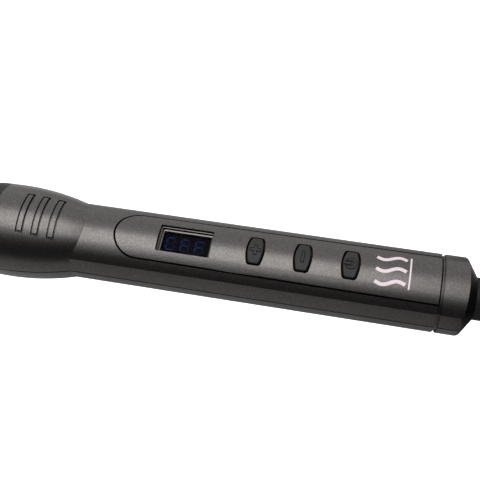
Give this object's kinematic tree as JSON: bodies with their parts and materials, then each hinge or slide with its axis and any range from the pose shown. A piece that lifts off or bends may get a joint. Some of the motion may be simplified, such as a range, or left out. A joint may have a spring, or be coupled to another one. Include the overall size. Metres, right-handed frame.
{
  "type": "curling wand",
  "caption": "Clipless digital curling wand: tapered barrel with cool tip, flared handle with inset display and keys, and a swivelling cord sleeve.",
  "frame": {"origin": "centre of the cord bore's mouth, at the end of the swivelling cord sleeve", "axes": "+X along the wand and out of the cord sleeve, so the barrel points to -X; +Z out of the middle of the control panel; +Y completes the right-handed frame"},
  "size_m": [0.411, 0.042, 0.042],
  "materials": {
    "shell_paint": "metallic charcoal paint with a fine light fleck, satin",
    "black_plastic": "satin heat-resistant black plastic",
    "button_rubber": "matt silicone",
    "smoked_lens": "clear with a smoke tint, gloss",
    "display_black": "gloss black epoxy",
    "display_blue": "dim blue light bars",
    "barrel_coat": "dark ceramic coating, satin",
    "bare_aluminium": "as extruded",
    "screw_steel": "zinc plated",
    "phenolic": "moulded heat-resistant resin",
    "mica": "pressed sheet, dull",
    "heater_ceramic": "fired alumina, matt",
    "board_green": "solder mask, satin",
    "component_black": "moulded epoxy",
    "capacitor_yellow": "wrapped film",
    "capacitor_sleeve": "shrink sleeve",
    "contact_brass": "turned",
    "carbon": "pressed graphite",
    "wire_white": "glass-fibre and silicone sleeve",
    "wire_black": "silicone insulation",
    "nylon": "moulded nylon"
  },
  "bodies": {
    "handle": {"upper_shell": "shell_paint", "lower_shell": "shell_paint", "shell_screws": "screw_steel", "control_panel": "shell_paint", "display_frame": "black_plastic", "display_lens": "smoked_lens", "display_module": "display_black", "display_digits": "display_blue", "circuit_board": "board_green", "board_screws": "screw_steel", "tact_switches": "component_black", "control_chip": "component_black", "triac": "component_black", "film_capacitor": "capacitor_yellow", "filter_capacitor": "capacitor_sleeve", "board_fuse": "component_black", "nose_ring": "black_plastic", "barrel_socket": "phenolic", "barrel_screws": "screw_steel", "heat_shield": "mica", "barrel": "barrel_coat", "cool_tip": "black_plastic", "tip_screw": "screw_steel", "tip_bracket": "screw_steel", "heater_carrier_upper": "bare_aluminium", "heater_carrier_lower": "bare_aluminium", "ceramic_heater": "heater_ceramic", "mica_sheets": "mica", "temperature_sensor": "heater_ceramic", "thermal_fuse": "screw_steel", "swivel_bush": "nylon", "swivel_carrier": "nylon", "contact_brushes": "carbon", "brush_springs": "screw_steel", "heater_leads": "wire_white", "sensor_leads": "wire_black", "mains_leads": "wire_black"},
    "plus_button": {"button_plus": "button_rubber"},
    "minus_button": {"button_minus": "button_rubber"},
    "power_button": {"button_power": "button_rubber"},
    "swivel": {"cord_sleeve": "black_plastic", "slip_rings": "contact_brass"}
  },
  "joints": [
    {"name": "plus_button_press", "type": "slide", "parent": "handle", "child": "plus_button", "axis": [0, 0, -1], "range_m": [0, 0.0006], "stiffness_N_per_m": 2500},
    {"name": "minus_button_press", "type": "slide", "parent": "handle", "child": "minus_button", "axis": [0, 0, -1], "range_m": [0, 0.0006], "stiffness_N_per_m": 2500},
    {"name": "power_button_press", "type": "slide", "parent": "handle", "child": "power_button", "axis": [0, 0, -1], "range_m": [0, 0.0006], "stiffness_N_per_m": 2500},
    {"name": "cord_sleeve_swivel", "type": "hinge", "parent": "handle", "child": "swivel", "pos_m": [0, 0, 0], "axis": [1, 0, 0], "continuous": true}
  ]
}
